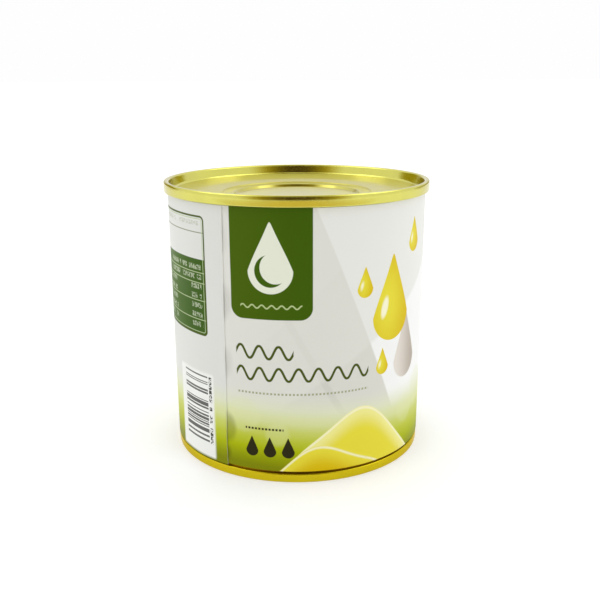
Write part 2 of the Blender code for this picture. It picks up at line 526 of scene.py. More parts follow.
# Drawing on the label: every shape gives the signed distance to its edge in millimetres, negative inside


def box_edge(tree, place, middle, half_size, rounding):
    """Distance to the edge of a box with rounded corners."""
    offset = vector_calc(tree, "SUBTRACT", place, (*middle, 0.0))
    folded = vector_calc(tree, "ABSOLUTE", offset)
    core = (half_size[0] - rounding, half_size[1] - rounding, 1.0)
    beyond = vector_calc(tree, "SUBTRACT", folded, core)
    outside = vector_calc(tree, "MAXIMUM", beyond, (0.0, 0.0, 0.0))
    length = vector_calc(tree, "LENGTH", outside)
    return calc(tree, "SUBTRACT", length, rounding)


def oval_edge(tree, place, middle, radii, tilt=0.0):
    """Distance to the edge of an ellipse, turned by tilt."""
    offset = vector_calc(tree, "SUBTRACT", place, (*middle, 0.0))
    if tilt:
        turn = {"Vector": offset, "Angle": -tilt}
        offset = add(tree, "ShaderNodeVectorRotate", turn, rotation_type="Z_AXIS")
    scaled = vector_calc(tree, "DIVIDE", offset, (*radii, 1.0))
    length = vector_calc(tree, "LENGTH", scaled)
    excess = calc(tree, "SUBTRACT", length, 1.0)
    return calc(tree, "MULTIPLY", excess, min(radii))


def line_edge(tree, place, start, end):
    """Distance to a straight line through two points, negative on its left hand from start to end."""
    along = Vector(end) - Vector(start)
    across = Vector((along.y, -along.x)).normalized()
    offset = vector_calc(tree, "SUBTRACT", place, (*start, 0.0))
    return vector_calc(tree, "DOT_PRODUCT", offset, (*across, 0.0))


DROP_TIP = 0.22


def drop_edge(tree, place, foot, radius, height):
    """Distance to the edge of a drop: round below, drawn out to a tip above its round's middle."""
    offset = vector_calc(tree, "SUBTRACT", place, (*foot, 0.0))
    right, up = parts(tree, offset)
    rise = remap(tree, up, 0.0, height, 1.0, DROP_TIP)
    across = calc(tree, "DIVIDE", right, rise)
    above = calc(tree, "MAXIMUM", up, 0.0)
    below = calc(tree, "MINIMUM", up, 0.0)
    upright = calc(tree, "MULTIPLY_ADD", above, radius / height, below)
    folded = add(tree, "ShaderNodeCombineXYZ", {0: across, 1: upright})
    length = vector_calc(tree, "LENGTH", folded)
    return calc(tree, "SUBTRACT", length, radius)


def inked(tree, edge, soft=PRINT_SOFT):
    """Cover from 0 to 1 inside an edge distance, with a soft rim."""
    return remap(tree, edge, soft, -soft)


def stroke(tree, edge, width):
    """Distance to the edge of a line of this width that follows another edge."""
    nearness = calc(tree, "ABSOLUTE", edge)
    return calc(tree, "SUBTRACT", nearness, width / 2)


def faint(tree, cover, share):
    """A cover laid on at only this share of its strength."""
    return calc(tree, "MULTIPLY", cover, share)


def both(tree, first, second):
    """Distance to the edge of what two shapes share."""
    return calc(tree, "MAXIMUM", first, second)


def either(tree, first, second):
    """Distance to the edge of two shapes together."""
    return calc(tree, "MINIMUM", first, second)


def paint(tree, under, cover, colour):
    """Lays a colour over another where the cover says."""
    ink = colour if isinstance(colour, bpy.types.NodeSocket) else linear(colour)
    return add(tree, "ShaderNodeMix", {0: cover, 6: under, 7: ink}, output=2, data_type="RGBA")


def blend_between(tree, value, low, high, first, second):
    """Colour that goes from one to another as a value goes from low to high."""
    share = remap(tree, value, low, high, interpolation_type="SMOOTHSTEP")
    return paint(tree, linear(first), share, second)


# Colours of the paper and its print, and of a painted shade
PAPER_WHITE = "#F7F8F6"
FACET_SHADE = "#DDDCD4"
FACET_LIGHT = "#E4E4DD"
FACET_DEEP = "#D2D1C8"
# Painted shade: the half of the sheet left of the lap's edge is painted a little greyer, for the can's
# darker left side
LEFT_HALF_PAINTED_SHADE = "#E0E1DC"
TAB_GREEN = "#3E5E08"
TAB_LEFT = "#486306"
TAB_RIGHT = "#3F5E04"
TAB_CREAM = "#E9EDDA"
TAB_RULE = "#B9C98E"
TITLE_OLIVE = "#4A5618"
NOTE_OLIVE = "#A7AA88"
MARK_BROWN = "#2E2A12"
MILK_YELLOW = "#E9DD40"
MILK_DEEP = "#DABB08"
MILK_LIGHT = "#F3EE98"
MILK_GLEAM = "#FBF8D6"
DROP_LIGHT = "#E6DFD6"
DROP_SHADE = "#B7AB9E"
GLOW_PALE = "#E3E8B4"
FIELD_LEFT = "#4C6C20"
FIELD_RIGHT = "#3E5E1A"
TABLE_GREEN = "#52742A"
TABLE_FRAME = "#4E5E22"
TABLE_LINE = "#868C6C"
TABLE_RULE = "#B9C99A"
TABLE_WORD = "#E4ECCF"
HEAD_WORD = "#A9AE93"
PANEL_WHITE = "#F2F3EF"
PANEL_WORD = "#6E7450"
CODE_WORD = "#4A4C44"
BAR_INK = "#1E1F1B"
CUT_PAPER = "#E4E3DB"
PAPER_FIBRE = "#F2F1EB"


# Two places in mm on the line along a facet's edge, and how soft it is
FACET_LEFT = ((16.8, 46.3), (4.7, 74.9), 0.25)
FACET_FOOT = ((-26.0, 8.0), (30.0, 44.0), 0.6)
FACET_UPPER = ((-2.6, 45.7), (30.0, 76.0), 0.4)
FACET_BAND = ((3.5, 34.8), (-2.6, 45.7), 0.3)
FACET_BAND_WIDTH = 1.8
FACET_UPPER_SHARE = 0.5
FACET_BAND_SHARE = 0.7
FACET_FOOT_SHARE = 0.6


def facet(tree, place, start, end, soft, width=None):
    """Cover of a facet on one side of a line, or of a band along the line."""
    edge = line_edge(tree, place, start, end)
    if width:
        edge = stroke(tree, edge, width)
    return inked(tree, edge, soft)


def white_facets(tree, place):
    """White stock with broad flat facets in very pale greys."""
    left = facet(tree, place, *FACET_LEFT)
    foot = facet(tree, place, *FACET_FOOT)
    upper = facet(tree, place, *FACET_UPPER)
    band = facet(tree, place, *FACET_BAND, FACET_BAND_WIDTH)
    ground = paint(tree, linear(PAPER_WHITE), left, FACET_SHADE)
    ground = paint(tree, ground, faint(tree, faint(tree, left, upper), FACET_UPPER_SHARE), FACET_LIGHT)
    ground = paint(tree, ground, faint(tree, band, FACET_BAND_SHARE), FACET_DEEP)
    return paint(tree, ground, faint(tree, foot, FACET_FOOT_SHARE), FACET_LIGHT)


GLOW_STOPS = (
    # height above the base in mm, colour
    (3.5, "#828802"),
    (5.7, "#949D02"),
    (8.7, "#AEB908"),
    (11.5, "#BEC73C"),
    (14.3, "#CBD36C"),
    (16.7, "#D9DF9E"),
    (20.5, "#E3E7C4"),
)
GLOW_LEVEL_AT = 6.2
GLOW_TILT = 1.5
GLOW_FADE = (26.0, 18.0)


def foot_glow(tree, under, place):
    """Yellow-green that deepens towards the label's foot and reaches higher on the left of each face."""
    right, up = parts(tree, place)
    aside = calc(tree, "SUBTRACT", right, GLOW_LEVEL_AT)
    sway = calc(tree, "SINE", calc(tree, "MULTIPLY", aside, 2 * math.pi / FACE_PITCH))
    heights = calc(tree, "MULTIPLY_ADD", sway, GLOW_TILT, up)
    low = GLOW_STOPS[0][0]
    high = GLOW_STOPS[-1][0]
    stops = [((height - low) / (high - low), colour) for height, colour in GLOW_STOPS]
    bands = tone_ramp(tree, remap(tree, heights, low, high), stops)
    cover = remap(tree, heights, *GLOW_FADE, interpolation_type="SMOOTHSTEP")
    return paint(tree, under, cover, bands)


GLOW_DISCS = (
    # middle, radius
    ((-15.0, 19.0), 4.8),
    ((-5.5, 14.0), 3.2),
    ((35.5, 15.5), 4.2),
    ((44.0, 20.0), 5.2),
)
GLOW_DISC_SOFT = 0.6
GLOW_DISC_SHARE = 0.26


def glow_discs(tree, under, place):
    """Faint pale discs that float in the glow."""
    colour = under
    for middle, radius in GLOW_DISCS:
        disc = inked(tree, oval_edge(tree, place, middle, (radius, radius)), GLOW_DISC_SOFT)
        colour = paint(tree, colour, faint(tree, disc, GLOW_DISC_SHARE), GLOW_PALE)
    return colour


LINE_ROOM = 1.0
LINE_END_ROUND = 0.3
DOT_ROUND = 0.1


def wavy_line(tree, place, height, length, swing, width, start, end):
    """Distance to the edge of a wavy line: its wave's length and swing, its width and its two ends."""
    right, up = parts(tree, place)
    turn = 2 * math.pi / length
    phase = calc(tree, "MULTIPLY_ADD", right, turn, -start * turn)
    crest = calc(tree, "MULTIPLY_ADD", calc(tree, "SINE", phase), swing, height)
    slope = calc(tree, "COSINE", phase)
    tilt = calc(tree, "MULTIPLY", slope, slope)
    longer = calc(tree, "SQRT", calc(tree, "MULTIPLY_ADD", tilt, (swing * turn) ** 2, 1.0))
    nearest = calc(tree, "DIVIDE", calc(tree, "SUBTRACT", up, crest), longer)
    room = ((end - start) / 2, 2 * swing + LINE_ROOM)
    ends = box_edge(tree, place, ((start + end) / 2, height), room, LINE_END_ROUND)
    return both(tree, stroke(tree, nearest, width), ends)


def dotted_line(tree, place, height, pitch, size, start, end):
    """Distance to the edge of a row of small square dots: their pitch and size, and the row's two ends."""
    row = box_edge(tree, place, ((start + end) / 2, height), ((end - start) / 2, size / 2), DOT_ROUND)
    teeth = calc(tree, "PINGPONG", parts(tree, place)[0], pitch / 2)
    return both(tree, row, calc(tree, "SUBTRACT", teeth, size / 2))


# The tab's box by its middle, half size and rounding, and its drop by its foot's middle, radius and height
TAB_BOX = ((-6.85, 65.0), (10.85, 19.1), 3.2)
TAB_TONES_FROM = -18.0
TAB_TONES_TO = 4.0
TAB_DROP = ((-6.85, 58.6), 5.9, 12.4)
TAB_CURL = ((-6.85, 58.6), (4.1, 4.2))
TAB_HOLLOW = ((-5.55, 59.4), (4.0, 4.1))
TAB_WAVE = (49.3, 2.6, 0.42, 0.38, -15.0, 1.3)


def hanging_tab(tree, under, place):
    """Green tab that hangs from the top edge, with a plain cream drop and a short wavy rule."""
    across = parts(tree, place)[0]
    green = blend_between(tree, across, TAB_TONES_FROM, TAB_TONES_TO, TAB_LEFT, TAB_RIGHT)
    colour = paint(tree, under, inked(tree, box_edge(tree, place, *TAB_BOX)), green)
    colour = paint(tree, colour, inked(tree, drop_edge(tree, place, *TAB_DROP)), TAB_CREAM)
    outside = calc(tree, "SUBTRACT", 0.0, oval_edge(tree, place, *TAB_HOLLOW))
    curl = both(tree, oval_edge(tree, place, *TAB_CURL), outside)
    colour = paint(tree, colour, inked(tree, curl), TAB_GREEN)
    return paint(tree, colour, inked(tree, wavy_line(tree, place, *TAB_WAVE)), TAB_RULE)


TITLE_WAVES = (
    # height, its waves' length and swing, its width, its two ends
    (37.0, 5.2, 1.7, 0.66, -16.6, -1.0),
    (31.0, 5.2, 1.7, 0.66, -16.6, 19.8),
)
TITLE_DOTS = (25.6, 1.0, 0.55, -16.6, 19.8)


def title_ornament(tree, under, place):
    """Two rows of olive waves over a fine dotted rule."""
    upper, lower = [wavy_line(tree, place, *row) for row in TITLE_WAVES]
    colour = paint(tree, under, inked(tree, either(tree, upper, lower)), TITLE_OLIVE)
    return paint(tree, colour, inked(tree, dotted_line(tree, place, *TITLE_DOTS)), NOTE_OLIVE)


MARK_PLACES = (-12.6, -7.6, -2.6)
MARK_FOOT = 9.0
MARK_RADIUS = 1.75
MARK_HEIGHT = 4.1
MARK_DOTS = (15.4, 0.95, 0.6, -14.4, -3.8)


def small_marks(tree, under, place):
    """Three small dark drops under a short dotted rule."""
    colour = under
    for across in MARK_PLACES:
        drop = drop_edge(tree, place, (across, MARK_FOOT), MARK_RADIUS, MARK_HEIGHT)
        colour = paint(tree, colour, inked(tree, drop), MARK_BROWN)
    return paint(tree, colour, inked(tree, dotted_line(tree, place, *MARK_DOTS)), MARK_BROWN)


PALE_DROP = ((34.6, 30.6), 5.4, 13.5)
PALE_DROP_SOFT = 0.2
MILK_DROPS = (
    # foot's middle, radius, height
    ((28.0, 44.5), 7.0, 16.5),
    ((18.4, 53.0), 2.4, 5.8),
    ((38.0, 63.0), 2.9, 6.6),
    ((24.6, 30.6), 2.2, 5.2),
)
# A milk drop's tones and gleam, in shares of its radius
TONE_PLACE = (-0.3, 0.5)
TONE_HEIGHT = 0.8
TONE_FROM = -0.9
TONE_TO = 0.5
GLEAM_PLACE = (-0.42, 0.35)
GLEAM_RADII = (0.16, 0.42)
GLEAM_TILT = -0.25
GLEAM_SOFT = 0.25


def drop_place(foot, radius, shares):
    """Place that lies these shares of a drop's radius right of its foot's middle and above it."""
    return tuple(place + radius * share for place, share in zip(foot, shares))


def milk_drop(tree, under, place, foot, radius, height):
    """A falling drop of yellow milk with a bright side and a deeper foot."""
    tone = oval_edge(tree, place, drop_place(foot, radius, TONE_PLACE), (radius, height * TONE_HEIGHT))
    body = blend_between(tree, tone, radius * TONE_FROM, radius * TONE_TO, MILK_YELLOW, MILK_DEEP)
    colour = paint(tree, under, inked(tree, drop_edge(tree, place, foot, radius, height)), body)
    shine = [radius * share for share in GLEAM_RADII]
    gleam = oval_edge(tree, place, drop_place(foot, radius, GLEAM_PLACE), shine, GLEAM_TILT)
    return paint(tree, colour, inked(tree, gleam, GLEAM_SOFT), MILK_GLEAM)


def pale_drop(tree, under, place, foot, radius, height):
    """A large pale drop that stands behind the yellow ones and darkens to its right."""
    drop = drop_edge(tree, place, foot, radius, height)
    across = parts(tree, place)[0]
    body = blend_between(tree, across, foot[0] - radius, foot[0] + radius, DROP_LIGHT, DROP_SHADE)
    return paint(tree, under, inked(tree, drop, PALE_DROP_SOFT), body)


MILK_WAVES = (
    # where it is highest, its height there, steepness, its ripple's phase, colours of its foot and crest
    (17.0, 19.6, 30.0, 2.6, MILK_YELLOW, MILK_LIGHT),
    (8.5, 10.0, 22.0, 0.4, MILK_DEEP, MILK_YELLOW),
)
WAVE_RIPPLE = 1.1
WAVE_RIPPLES = 5
WAVE_DEEP_AT = -7.0
WAVE_PALE_AT = -0.6
CREST_DEPTH = 0.5
CREST_WIDTH = 0.55
CREST_SOFT = 0.3


def milk_wave(tree, under, place, top, height, steepness, phase, deep, pale):
    """A swell of yellow milk at the foot, with a small ripple and a bright crest."""
    right, up = parts(tree, place)
    turn = 2 * math.pi / FACE_PITCH
    long_wave = calc(tree, "COSINE", calc(tree, "MULTIPLY_ADD", right, turn, -top * turn))
    short_wave = calc(tree, "SINE", calc(tree, "MULTIPLY_ADD", right, turn * WAVE_RIPPLES, phase))
    swell = calc(tree, "MULTIPLY_ADD", long_wave, steepness, height - steepness)
    crest = calc(tree, "MULTIPLY_ADD", short_wave, WAVE_RIPPLE, swell)
    depth = calc(tree, "SUBTRACT", up, crest)
    milk = blend_between(tree, depth, WAVE_DEEP_AT, WAVE_PALE_AT, deep, pale)
    colour = paint(tree, under, inked(tree, depth), milk)
    line = stroke(tree, calc(tree, "ADD", depth, CREST_DEPTH), CREST_WIDTH)
    return paint(tree, colour, inked(tree, line, CREST_SOFT), MILK_GLEAM)


# Fine print: a dot's width and height in mm, and shares of a letter's cell, of its dots and of the letters
LETTER_DOT = (0.30, 0.36, 1.0)
LETTER_HALF_HEIGHT = (0.30, 0.22)
LETTER_WIDTH = (0.92, 0.80)
INKED_DOTS = 0.66
PRINTED_LETTERS = 0.86


def printed_words(tree, place, pitch, start, letter):
    """Cover of rows of fine unreadable print: clusters of dots as wide as a letter, a row per pitch."""
    seated = vector_calc(tree, "SUBTRACT", place, (0.0, start, 0.0))
    rows = vector_calc(tree, "DIVIDE", seated, (letter, pitch, 1.0))
    right, up = parts(tree, vector_calc(tree, "FRACTION", rows))
    level = calc(tree, "ABSOLUTE", calc(tree, "SUBTRACT", up, 0.5))
    tall = remap(tree, level, *LETTER_HALF_HEIGHT)
    wide = remap(tree, right, *LETTER_WIDTH)
    dot = vector_calc(tree, "FLOOR", vector_calc(tree, "DIVIDE", seated, LETTER_DOT))
    ink = add(tree, "ShaderNodeTexWhiteNoise", {0: dot}, noise_dimensions="2D")
    inky = calc(tree, "LESS_THAN", ink, INKED_DOTS)
    whole = vector_calc(tree, "FLOOR", rows)
    chance = add(tree, "ShaderNodeTexWhiteNoise", {0: whole}, noise_dimensions="2D")
    kept = calc(tree, "LESS_THAN", chance, PRINTED_LETTERS)
    letters = calc(tree, "MULTIPLY", calc(tree, "MULTIPLY", tall, wide), inky)
    return calc(tree, "MULTIPLY", letters, kept)


def fill_box(tree, under, cover, place, box, colour):
    """Paints a cover in a colour, but only inside a box."""
    inside = inked(tree, box_edge(tree, place, *box))
    return paint(tree, under, calc(tree, "MULTIPLY", cover, inside), colour)


# Each box is its middle, half size and rounding, and fine print is its rows' pitch and start and its letter
TABLE_BOX = ((-42.6, 55.05), (16.4, 15.95), 1.2)
TABLE_TONES_FROM = -46.0
TABLE_TONES_TO = -28.0
FIELD_TOP = 59.7
FIELD_RULES = (56.1, 53.3, 48.5, 43.2)
FIELD_RULE_WIDTH = 0.22
FIELD_ROWS = (2.62, 40.5, 0.92)
FIELD_COLUMNS = (
    ((-36.3, 56.5), (8.7, 2.9), 0.0),
    ((-29.9, 46.6), (2.3, 6.4), 0.0),
    ((-49.75, 46.6), (8.25, 6.4), 0.0),
)
HEAD_RULE = 66.8
HEAD_RULE_WIDTH = 0.24
HEAD_ROWS = (2.2, 68.1, 0.8)
HEAD_BOX = ((-38.5, 69.2), (10.5, 1.1), 0.0)
INNER_RULE_DEPTH = 0.62
INNER_RULE_WIDTH = 0.2
FRAME_WIDTH = 0.5


def above_level(tree, place, height):
    """Distance to a level line, negative above it."""
    return line_edge(tree, place, (0.0, height), (1.0, height))


def food_table(tree, under, place):
    """Table of food values: white head, green field, pale rules, unreadable entries."""
    outline = box_edge(tree, place, *TABLE_BOX)
    across = parts(tree, place)[0]
    green = blend_between(tree, across, TABLE_TONES_FROM, TABLE_TONES_TO, FIELD_LEFT, FIELD_RIGHT)
    field = calc(tree, "MULTIPLY", above_level(tree, place, FIELD_TOP), -1.0)
    colour = paint(tree, under, inked(tree, both(tree, outline, field)), green)
    rule = stroke(tree, above_level(tree, place, HEAD_RULE), HEAD_RULE_WIDTH)
    colour = paint(tree, colour, inked(tree, both(tree, rule, outline)), TABLE_LINE)
    for height in FIELD_RULES:
        rule = stroke(tree, above_level(tree, place, height), FIELD_RULE_WIDTH)
        colour = paint(tree, colour, inked(tree, both(tree, rule, outline)), TABLE_RULE)
    words = printed_words(tree, place, *FIELD_ROWS)
    for column in FIELD_COLUMNS:
        colour = fill_box(tree, colour, words, place, column, TABLE_WORD)
    colour = fill_box(tree, colour, printed_words(tree, place, *HEAD_ROWS), place, HEAD_BOX, HEAD_WORD)
    inner = stroke(tree, calc(tree, "ADD", outline, INNER_RULE_DEPTH), INNER_RULE_WIDTH)
    colour = paint(tree, colour, inked(tree, inner), TABLE_RULE)
    return paint(tree, colour, inked(tree, stroke(tree, outline, FRAME_WIDTH)), TABLE_FRAME)


BAR_STEP = 0.28
BAR_SHARE = 0.5
BAR_PANEL = ((-32.75, 15.8), (8.25, 12.4), 0.6)
BAR_PANEL_SOFT = 0.4
BAR_LADDERS = (
    ((-32.4, 12.3), (5.6, 4.5), 0.05),
    ((-32.4, 22.45), (5.6, 4.85), 0.05),
)
CODE_ROWS = (2.0, -26.8, 1.25)
CODE_COLUMN = ((-25.7, 17.0), (0.9, 10.5), 0.1)


def bar_code(tree, under, place):
    """White panel with a ladder of thin bars of chance widths and a column of fine print beside it."""
    colour = paint(tree, under, inked(tree, box_edge(tree, place, *BAR_PANEL), BAR_PANEL_SOFT), PANEL_WHITE)
    right, up = parts(tree, place)
    cell = calc(tree, "FLOOR", calc(tree, "DIVIDE", up, BAR_STEP))
    chance = add(tree, "ShaderNodeTexWhiteNoise", {"W": cell}, noise_dimensions="1D")
    dark = calc(tree, "LESS_THAN", chance, BAR_SHARE)
    for ladder in BAR_LADDERS:
        colour = fill_box(tree, colour, dark, place, ladder, BAR_INK)
    upright = add(tree, "ShaderNodeCombineXYZ", {0: up, 1: right})
    marks = printed_words(tree, upright, *CODE_ROWS)
    return fill_box(tree, colour, marks, place, CODE_COLUMN, CODE_WORD)


RECIPE_SHEET = ((71.0, 40.0), (15.0, 30.0), 2.0)
RECIPE_HEAD = ((71.0, 66.0), (15.0, 4.0), 0.1)
RECIPE_TEXT = ((71.0, 39.0), (13.0, 21.0), 0.3)
RECIPE_ROWS = (2.1, 18.0, 0.8)
RECIPE_TITLE = ((71.0, 65.8), (10.0, 1.6), 0.3)
RECIPE_TITLE_ROWS = (3.4, 64.1, 1.5)
RECIPE_FRAME = 0.4


def recipe_panel(tree, under, place):
    """Outlined panel on the other side, with a green head and rows of fine print."""
    sheet = box_edge(tree, place, *RECIPE_SHEET)
    head = both(tree, sheet, box_edge(tree, place, *RECIPE_HEAD))
    colour = paint(tree, under, inked(tree, sheet), PANEL_WHITE)
    colour = paint(tree, colour, inked(tree, head), TABLE_GREEN)
    text = printed_words(tree, place, *RECIPE_ROWS)
    colour = fill_box(tree, colour, text, place, RECIPE_TEXT, PANEL_WORD)
    title = printed_words(tree, place, *RECIPE_TITLE_ROWS)
    colour = fill_box(tree, colour, title, place, RECIPE_TITLE, TABLE_WORD)
    return paint(tree, colour, inked(tree, stroke(tree, sheet, RECIPE_FRAME)), TABLE_GREEN)


SIDE_EDGE = ((-20.0, 0.0), (-20.0, 80.0))
LAP_EDGE = ((-20.25, 0.0), (-19.75, 78.0))
# Painted shade beside the lap's edge: how far it darkens the print, its patches and their soft rim
LAP_SHADE_DEPTH = 0.50
LAP_SHADE_PATCHES = (
    # middle and radii in mm of a patch of painted shade just right of the lap's edge, standing for the
    # shadow of a dent or lift there, and how strongly
    ((-19.9, 66.0), (1.7, 3.2), 0.10),
    ((-19.9, 49.6), (2.1, 4.2), 0.24),
    ((-20.0, 33.0), (2.0, 3.6), 0.16),
    ((-20.1, 14.4), (2.7, 4.0), 0.58),
    ((-20.2, 6.6), (0.9, 1.5), 0.60),
)
LAP_SHADE_SOFT = 0.6
PAPER_ROUGHNESS = (0.36, 0.46)
NOISE_SPAN = (0.3, 0.7)


def printed_stock():
    """Gloss-coated label paper: smooth, a little shiny, with soft unevenness and crisp litho inks."""
    material, tree = new_material("coated label paper, litho print")
    place = add(tree, "ShaderNodeUVMap", uv_map="print_mm")
    right, up = parts(tree, place)
    half = AROUND / 2
    around = calc(tree, "WRAP", right, half, -half)
    sheet = add(tree, "ShaderNodeCombineXYZ", {0: around, 1: up})
    repeated = calc(tree, "WRAP", right, FACE_MIDDLE + FACE_PITCH / 2, FACE_MIDDLE - FACE_PITCH / 2)
    face = add(tree, "ShaderNodeCombineXYZ", {0: repeated, 1: up})
    colour = white_facets(tree, face)
    # Painted shade: the sheet left of the lap's edge, round to the back, is painted greyer
    colour = paint(tree, colour, inked(tree, line_edge(tree, sheet, *SIDE_EDGE)), LEFT_HALF_PAINTED_SHADE)
    colour = foot_glow(tree, colour, face)
    colour = glow_discs(tree, colour, face)
    # Painted shade: soft darker patches just right of the lap's edge stand in for the shadows of its dents
    # and lifts
    beyond = calc(tree, "MULTIPLY", line_edge(tree, sheet, *LAP_EDGE), -1.0)
    for middle, radii, share in LAP_SHADE_PATCHES:
        patch = both(tree, oval_edge(tree, sheet, middle, radii), beyond)
        shaded_print = add(tree, "ShaderNodeVectorMath", {0: colour, "Scale": LAP_SHADE_DEPTH}, operation="SCALE")
        colour = paint(tree, colour, faint(tree, inked(tree, patch, LAP_SHADE_SOFT), share), shaded_print)
    colour = pale_drop(tree, colour, face, *PALE_DROP)
    for wave in MILK_WAVES:
        colour = milk_wave(tree, colour, face, *wave)
    for drop in MILK_DROPS:
        colour = milk_drop(tree, colour, face, *drop)
    for drawn in (title_ornament, small_marks, hanging_tab):
        colour = drawn(tree, colour, face)
    for drawn in (food_table, bar_code, recipe_panel):
        colour = drawn(tree, colour, sheet)
    solid = add(tree, "ShaderNodeTexCoord", output=3)
    fibre = add(tree, "ShaderNodeTexNoise", {"Vector": solid, "Scale": 2600.0, "Detail": 2.0})
    relief = add(tree, "ShaderNodeBump", {"Height": fibre, "Strength": 0.05, "Distance": 0.00003})
    cloud = add(tree, "ShaderNodeTexNoise", {"Vector": solid, "Scale": 90.0, "Detail": 3.0})
    rough = remap(tree, cloud, *NOISE_SPAN, *PAPER_ROUGHNESS)
    shader = add(
        tree,
        "ShaderNodeBsdfPrincipled",
        {"Base Color": colour, "Roughness": rough, "Normal": relief, "Specular IOR Level": 0.06},
    )
    end_with(tree, "ShaderNodeOutputMaterial", shader)
    return material


def bare_stock():
    """Cut edge and glued back of the label paper: soft, white and dull."""
    material, tree = new_material("label paper, bare")
    place = add(tree, "ShaderNodeTexCoord", output=3)
    fibre = add(tree, "ShaderNodeTexNoise", {"Vector": place, "Scale": 2400.0, "Detail": 3.0})
    colour = paint(tree, linear(CUT_PAPER), fibre, PAPER_FIBRE)
    shader = add(tree, "ShaderNodeBsdfPrincipled", {"Base Color": colour, "Roughness": 0.75})
    end_with(tree, "ShaderNodeOutputMaterial", shader)
    return material


COAT_ROUGHNESS = 0.1
POOLING_SPAN = (0.35, 0.65)
POOLING_FILM = (1.0, 0.95)
GRAIN_ROUGHNESS = (-0.03, 0.04)
RING_REACH = 0.0176
RING_ROUGHNESS = 0.14
RING_FADE = (0.0003, 0.0009)
WALL_FADE = (0.0340, 0.0352)


def gold_lacquer(name, tones, edge, roughness, panel_roughness, coat):
    """Tinplate under a baked gold lacquer: a warm metal sheen, soft reflections and a thin clear gloss.

    The tones are (radius, colour) from the can's axis outwards: the stamped panel inside the chuck wall is
    satin, with the top end's paler middle disc a painted sheen for the clear coat's white reflection, the
    drawn seam and wall are burnished, and so is the steep side of the ring pressed round the middle of the
    panel.
    """
    material, tree = new_material(name)
    place = add(tree, "ShaderNodeTexCoord", output=3)
    reach = vector_calc(tree, "LENGTH", vector_calc(tree, "MULTIPLY", place, (1.0, 1.0, 0.0)))
    stops = [(radius / TOP_SEAM_RADIUS, colour) for radius, colour in tones]
    # Painted sheen: on the top end the middle disc's tone is paler, standing for the clear coat's white
    # reflection
    lacquer_and_sheen = tone_ramp(tree, calc(tree, "DIVIDE", reach, TOP_SEAM_RADIUS), stops)
    pooling = add(tree, "ShaderNodeTexNoise", {"Vector": place, "Scale": 160.0, "Detail": 4.0})
    thick = remap(tree, pooling, *POOLING_SPAN, *POOLING_FILM)
    colour = add(tree, "ShaderNodeVectorMath", {0: lacquer_and_sheen, "Scale": thick}, operation="SCALE")
    grain = add(tree, "ShaderNodeTexNoise", {"Vector": place, "Scale": 1400.0, "Detail": 3.0})
    from_ring = calc(tree, "ABSOLUTE", calc(tree, "SUBTRACT", reach, RING_REACH))
    satin = remap(tree, from_ring, *RING_FADE, RING_ROUGHNESS, panel_roughness)
    burnish = remap(tree, reach, *WALL_FADE, 0.0, roughness - panel_roughness)
    spread = remap(tree, grain, *NOISE_SPAN, *GRAIN_ROUGHNESS)
    rough = calc(tree, "ADD", calc(tree, "ADD", satin, burnish), spread)
    relief = add(tree, "ShaderNodeBump", {"Height": grain, "Strength": 0.06, "Distance": 0.00002})
    shader = add(
        tree,
        "ShaderNodeBsdfPrincipled",
        {
            "Base Color": colour,
            "Metallic": 1.0,
            "Roughness": rough,
            "Normal": relief,
            "Specular Tint": linear(edge),
            "Coat Weight": coat,
            "Coat Roughness": COAT_ROUGHNESS,
        },
    )
    end_with(tree, "ShaderNodeOutputMaterial", shader)
    return material


# Stage, lights and camera


FLOOR_WHITE = "#D2D2D2"
FLOOR_GLOW = 0.40
FLOOR_REACH = 30.0


def make_floor():
    """Plain pale light table, which glows a little of itself and so holds hardly any shadow."""
    build = bmesh.new()
    bmesh.ops.create_grid(build, x_segments=2, y_segments=2, size=FLOOR_REACH)
    mesh = bpy.data.meshes.new("floor")
    build.to_mesh(mesh)
    build.free()
    material, tree = new_material("matt white light table")
    white = linear("#FFFFFF")
    matt = {"Base Color": linear(FLOOR_WHITE), "Roughness": 0.9, "Emission Color": white}
    shader = add(tree, "ShaderNodeBsdfPrincipled", {**matt, "Emission Strength": FLOOR_GLOW})
    end_with(tree, "ShaderNodeOutputMaterial", shader)
    mesh.materials.append(material)
    floor = in_scene("floor", mesh)


def make_board(name, near, far, half_width, fade, colour, margin, middle=0.0, glow=1.0, dims_paper=False):
    """Board that the tin mirrors, from one (y, z) edge to another, to both sides of its middle.

    It fades from its own colour to that of its margin and then out over the last part of its half width.
    """
    mesh = bpy.data.meshes.new(name)
    corners = [(side * half_width, y, z) for (y, z), side in ((near, -1), (near, 1), (far, 1), (far, -1))]
    mesh.from_pydata(corners, [], [(0, 1, 2, 3)])
    material, tree = new_material(name + ", matt board")
    place = add(tree, "ShaderNodeTexCoord", output=3)
    reach = calc(tree, "ABSOLUTE", parts(tree, place)[0])
    inside = half_width - fade
    tone = blend_between(tree, reach, inside - fade, inside + fade / 2, colour, margin)
    gone = remap(tree, reach, inside, half_width)
    board = add(tree, "ShaderNodeEmission", {"Color": tone, "Strength": glow})
    clear = add(tree, "ShaderNodeBsdfTransparent")
    mixed = add(tree, "ShaderNodeMixShader", {0: gone, 1: board, 2: clear})
    end_with(tree, "ShaderNodeOutputMaterial", mixed)
    mesh.materials.append(material)
    panel = in_scene(name, mesh)
    panel.location.x = middle
    panel.visible_camera = False
    panel.visible_diffuse = dims_paper
    panel.visible_glossy = not dims_paper
    panel.visible_shadow = False


